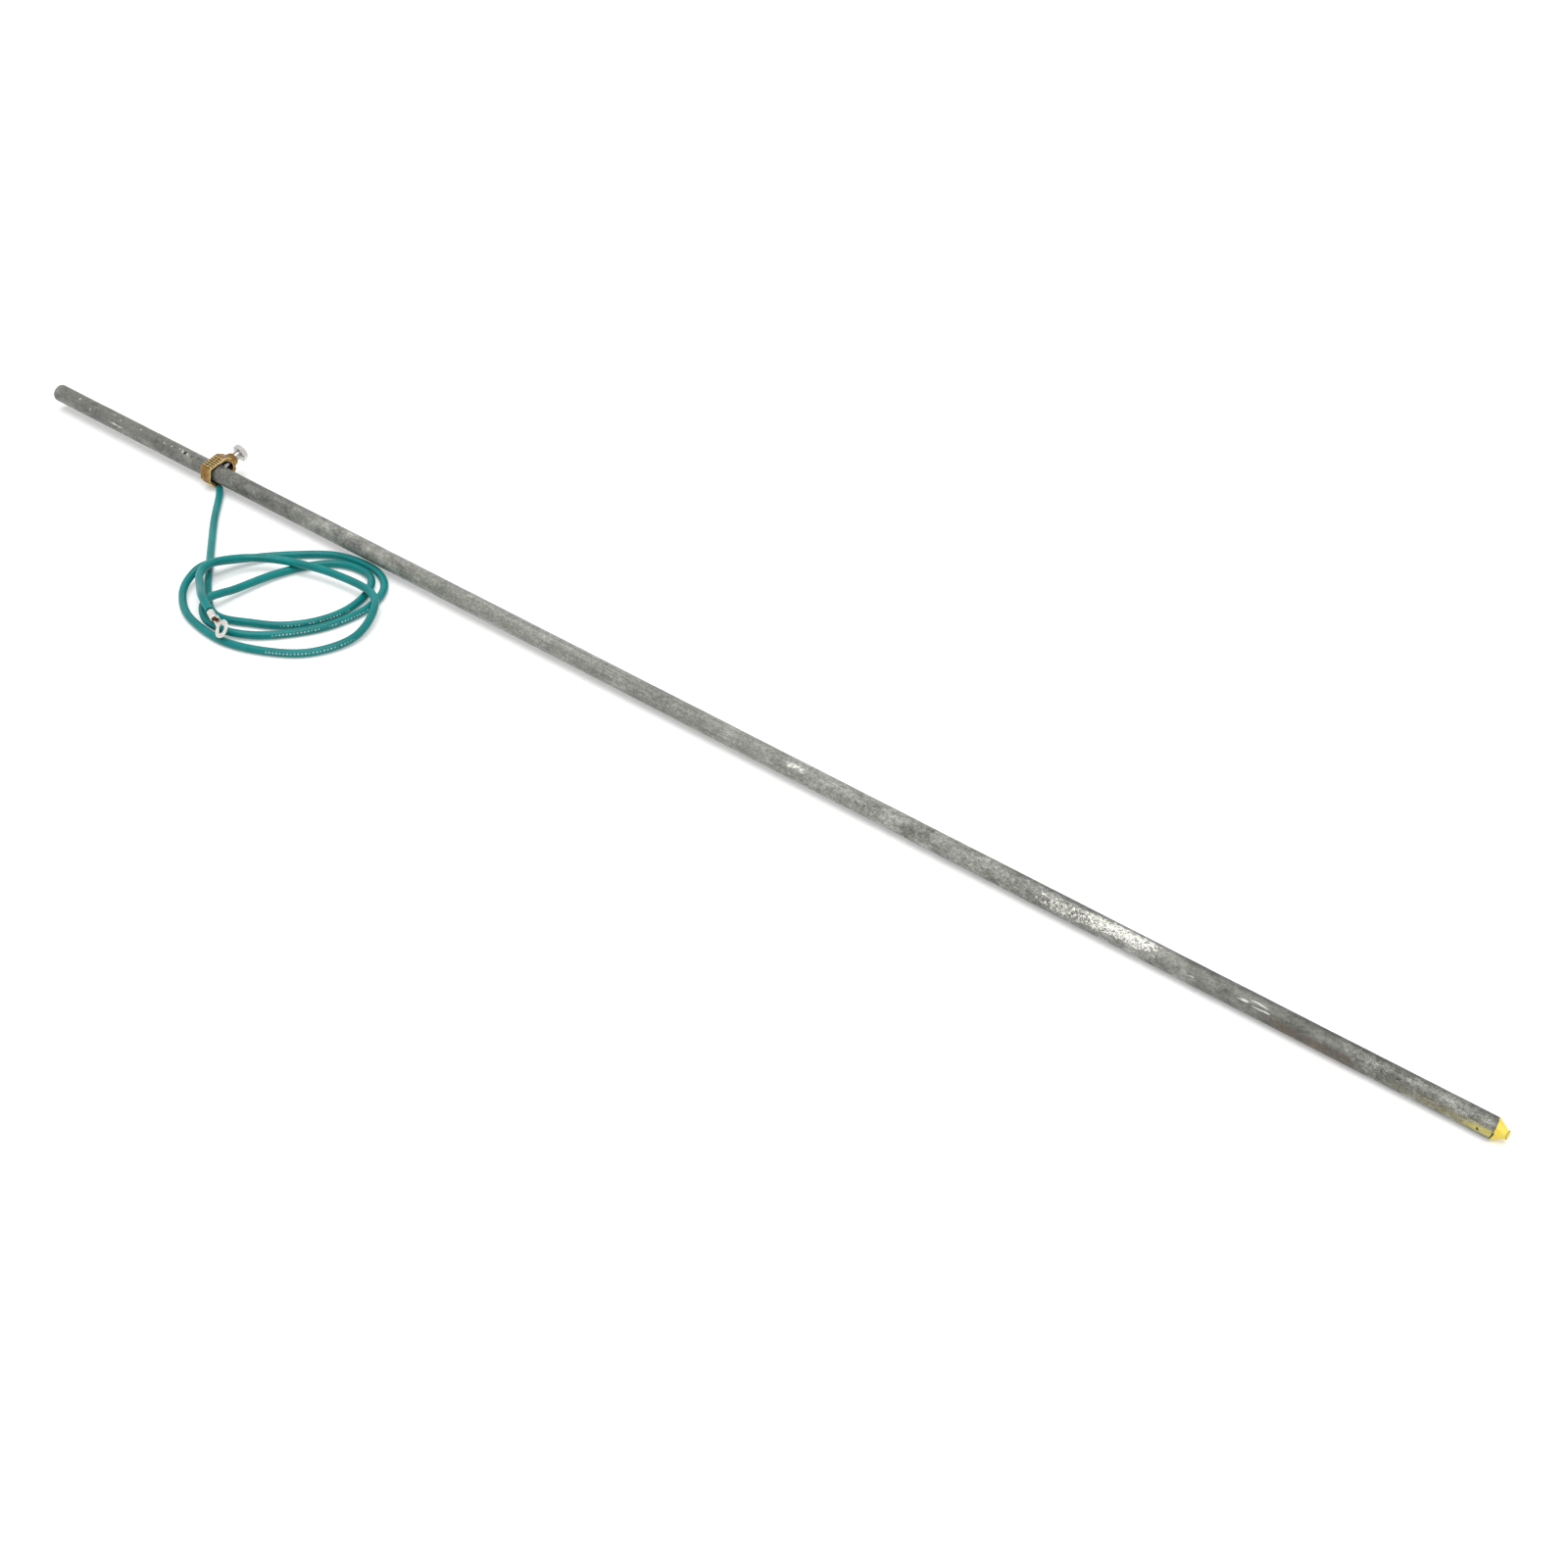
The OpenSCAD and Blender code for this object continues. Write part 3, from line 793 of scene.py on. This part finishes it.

    # The painted point: bare at first where it faces the camera, chipped low down, with painted shade round its
    # nub's end
    beyond = along - SHOULDER_X / MM
    facing = (0.73 * near + 0.69 * up).rise(0, 6)
    edge = beyond - 2.2 * facing + 0.8 * (mottle - 0.5)
    painted = edge.rise(-0.45, 0)
    yellow = (0.6 * patches + 0.4 * mottle).stops(
        (0.36, srgb(240, 196, 62)), (0.46, srgb(255, 226, 84)), (0.6, srgb(255, 234, 108)))
    radius = (up * up + near * near) ** 0.5
    # Painted shade: a dark ring round the edge of the nub's end
    painted_shade_rim = beyond.rise(7.3, 7.5) * radius.rise(2.0, 2.4)
    yellow = finish.mix(0.75 * painted_shade_rim, yellow, srgb(104, 84, 30))
    colour = finish.mix(painted, colour, yellow)
    spot = on_rod @ Vector((1204.5 * MM - CLAMP_FROM_END, -ROD_R, 0))
    chip = ((edge + 0.35).size().rise(0.75, 0.45) * band(-0.1, 0.4, 0.25)
            + (finish.distance(place, spot) / MM + 2 * (grain - 0.5)).rise(1.1, 0.7))
    colour = finish.mix(0.95 * chip, colour, srgb(38, 32, 22))

    height = mottle + 0.4 * grain - 0.6 * pits
    finish.shade(
        Base_Color=colour, Metallic=(0.22 + 0.4 * worn) * (1 - painted),
        Roughness=0.5 + 0.25 * (mottle - 0.5) - 0.16 * worn, Normal=finish.bump(height, 0.08 * MM, 0.6))
    return finish


# Printed stretches of the wire, as the first and the last of its points, and millimetres between ticks
PRINTED = ((9, 11), (23, 25), (36, 38))
TICK_PITCH = 2.3


def printed_insulation():
    """Green plastic, with plain pale ticks where the wire is printed."""
    finish = Finish("green_insulation", IOR=1.5, Specular_IOR_Level=0.27)
    lengthwise, around, _ = finish.axes(finish.node("ShaderNodeTexCoord", {}, {}, "UV"))
    place = finish.object_place()
    run = lengthwise * (wire_length / MM)

    def run_to(index):
        return path_length(wire_path[:PATH_STEPS * index + 1]) / MM

    def between(start, end):
        return run.rise(start - 1, start + 1) * run.rise(end + 1, end - 1)

    stretches = sum(between(run_to(first), run_to(last)) for first, last in PRINTED)
    step = run.part_of(TICK_PITCH)
    tick = step.rise(0.06, 0.14) * step.rise(0.62, 0.54) * (around - 0.055).size().rise(0.034, 0.022)
    rubbed = finish.cloud(place, 420, 2).rise(0.36, 0.5)
    dust = finish.cloud(place, 60, 4, 0.6)
    plastic = dust.stops((0.35, srgb(0, 124, 123)), (0.65, srgb(0, 139, 137)))
    finish.shade(
        Base_Color=finish.mix(0.85 * stretches * tick * rubbed, plastic, srgb(206, 224, 220)),
        Roughness=0.24 + 0.12 * dust,
        Normal=finish.bump(finish.cloud(place, 700, 2), 0.04 * MM, 0.3))
    return finish


def aged_bronze():
    """Cast bronze: bright on its edges, where it is rubbed and a highlight is painted, with painted shade in the
    hollows, between the raised bars and inside the loop.
    """
    finish = Finish("cast_bronze", Metallic=1)
    place = finish.object_place()
    across = finish.reach(place, on_clamp.col[0].xyz).size() / MM
    bolt_way = finish.reach(place, on_clamp.col[1].xyz) / MM
    flank_way = finish.reach(place, on_clamp.col[2].xyz) / MM
    base_way = math.sin(BASE_SLOPE) * flank_way.size() - math.cos(BASE_SLOPE) * bolt_way
    edges = finish.pointiness()
    cloudy = finish.cloud(place, 260, 4, 0.6)
    grain = finish.cloud(place, 1500, 2)
    bronze = (0.6 * cloudy + 0.4 * grain).stops(
        (0.35, srgb(98, 68, 32)), (0.5, srgb(135, 102, 54)), (0.65, srgb(177, 141, 83)))
    boss_sides = bolt_way.rise(12.4, 13.0) * bolt_way.rise(18.1, 17.7)
    # Bright edges: wear, and a painted highlight along them
    rubbed = edges.rise(0.508, 0.54) * (1 - boss_sides)
    bronze = finish.mix(rubbed, bronze, srgb(255, 234, 172))
    # Painted shade: darker between the raised bars and in the hollows
    flank_panel = bolt_way.rise(-5.1, -4.8) * bolt_way.rise(7.2, 6.9)
    flank_panel = flank_panel * flank_way.rise(8.2, 8.4) * flank_way.rise(8.9, 8.72)
    base_panel = flank_way.rise(-0.6, -0.9) * base_way.rise(8.9, 9.1) * base_way.rise(9.55, 9.36)
    panel = across.rise(4.9, 4.6) * (flank_panel + base_panel)
    painted_shade_in_hollows = edges.rise(0.488, 0.45)
    painted_shade_dark = panel + painted_shade_in_hollows * (1 - panel)
    bronze = finish.mix(0.92 * painted_shade_dark, bronze, srgb(48, 29, 8))
    # Painted shade inside the loop's opening
    round_end = (bolt_way - 4.77).at_least(0)
    from_middle = (round_end * round_end + flank_way * flank_way) ** 0.5
    inside = across.rise(5.2, 5.0) * from_middle.rise(7.45, 7.3) * base_way.rise(8.0, 7.8)
    bronze = finish.mix(0.8 * inside, bronze, srgb(40, 24, 8))
    finish.shade(
        Base_Color=bronze, Roughness=0.3 + 0.2 * grain + 0.25 * painted_shade_dark,
        Normal=finish.bump(cloudy + 0.5 * grain, 0.1 * MM, 0.5))
    return finish


def plated(name, pale, dim, roughness):
    """A bright plated metal, with painted shade in its hollows."""
    finish = Finish(name, Metallic=1)
    place = finish.object_place()
    # Painted shade in the hollows
    painted_shade_in_hollows = finish.pointiness().rise(0.495, 0.42)
    cloudy = finish.cloud(place, 800, 3, 0.6)
    metal = cloudy.stops((0.3, dim), (0.6, pale))
    finish.shade(
        Base_Color=finish.mix(painted_shade_in_hollows, metal, srgb(70, 62, 54)),
        Roughness=roughness + 0.15 * (cloudy - 0.4),
        Normal=finish.bump(cloudy, 0.04 * MM, 0.3))
    return finish


def tarnished_copper():
    finish = Finish("tarnished_copper", Metallic=0.8)
    cloudy = finish.cloud(finish.object_place(), 900, 3, 0.6)
    finish.shade(
        Base_Color=cloudy.stops((0.35, srgb(58, 38, 26)), (0.65, srgb(128, 82, 52))),
        Roughness=0.45 + 0.2 * (cloudy - 0.5))
    return finish


# The pieces, the wire first

wire = earth_wire()
dress(wire, printed_insulation(), "insulation", "rod_and_clamp", "insulation")
strands = bare_strands()
dress(strands, tarnished_copper(), "copper", "rod_and_clamp", "conductor")
terminal = lug_terminal()
tin = plated("bright_tin", srgb(228, 225, 219), srgb(206, 203, 196), 0.26)
dress(terminal, tin, "tinned_copper", "rod_and_clamp", "ring_terminal")

dress(zinc_rod(), zinc_and_paint(), "zinc", "rod_and_clamp", "rod")
dress(clamp_casting(), aged_bronze(), "bronze", "rod_and_clamp", "clamp_body")
steel = plated("bright_steel", srgb(210, 209, 205), srgb(180, 179, 176), 0.18)
dress(clamp_screw(), steel, "plated_steel", "bolt", "clamp_bolt")


# Floor and light, with a lift towards white for the rays that see them

SEEING_RAYS = ("Is Camera Ray", "Is Glossy Ray", "Is Transmission Ray")
FLOOR_LIFT = 0.3
ROOM_STRENGTH, SEEN_STRENGTH = 0.45, 1
SUN_STRENGTH, SUN_SPREAD, SUN_FROM = 1.9, math.radians(55), Vector((0.1, -0.12, 1))


def pale_floor():
    look_at_nothing()
    bpy.ops.mesh.primitive_plane_add(size=24, location=(0, 0, 0))
    floor = settle(added("pale_floor"))
    paper = Finish(
        "white_paper", Roughness=0.9, Base_Color=(0.92, 0.92, 0.92, 1), Specular_IOR_Level=0, Emission_Strength=1)
    seen = sum(paper.node("ShaderNodeLightPath", {}, {}, ray) for ray in SEEING_RAYS)
    paper.shade(Emission_Color=FLOOR_LIFT * seen.rise(0, 1))
    floor.data.materials.append(paper.material)


def soft_light():
    data = bpy.data.lights.new("soft_key", "SUN")
    data.energy = SUN_STRENGTH
    data.angle = SUN_SPREAD
    lamp = bpy.data.objects.new("soft_key", data)
    scene.collection.objects.link(lamp)
    lamp.rotation_euler = SUN_FROM.to_track_quat("Z", "Y").to_euler()
    world = bpy.data.worlds.new("white_room")
    scene.world = world
    world.use_nodes = True
    nodes, links = world.node_tree.nodes, world.node_tree.links
    rays = nodes.new("ShaderNodeLightPath")
    seen = rays.outputs[SEEING_RAYS[0]]
    for ray in SEEING_RAYS[1:]:
        either = nodes.new("ShaderNodeMath")
        either.operation = "MAXIMUM"
        links.new(seen, either.inputs[0])
        links.new(rays.outputs[ray], either.inputs[1])
        seen = either.outputs["Value"]
    level = nodes.new("ShaderNodeMapRange")
    level.inputs["To Min"].default_value = ROOM_STRENGTH
    level.inputs["To Max"].default_value = SEEN_STRENGTH
    links.new(seen, level.inputs["Value"])
    links.new(level.outputs["Result"], nodes["Background"].inputs["Strength"])
    nodes["Background"].inputs["Color"].default_value = (1, 1, 1, 1)


pale_floor()
soft_light()
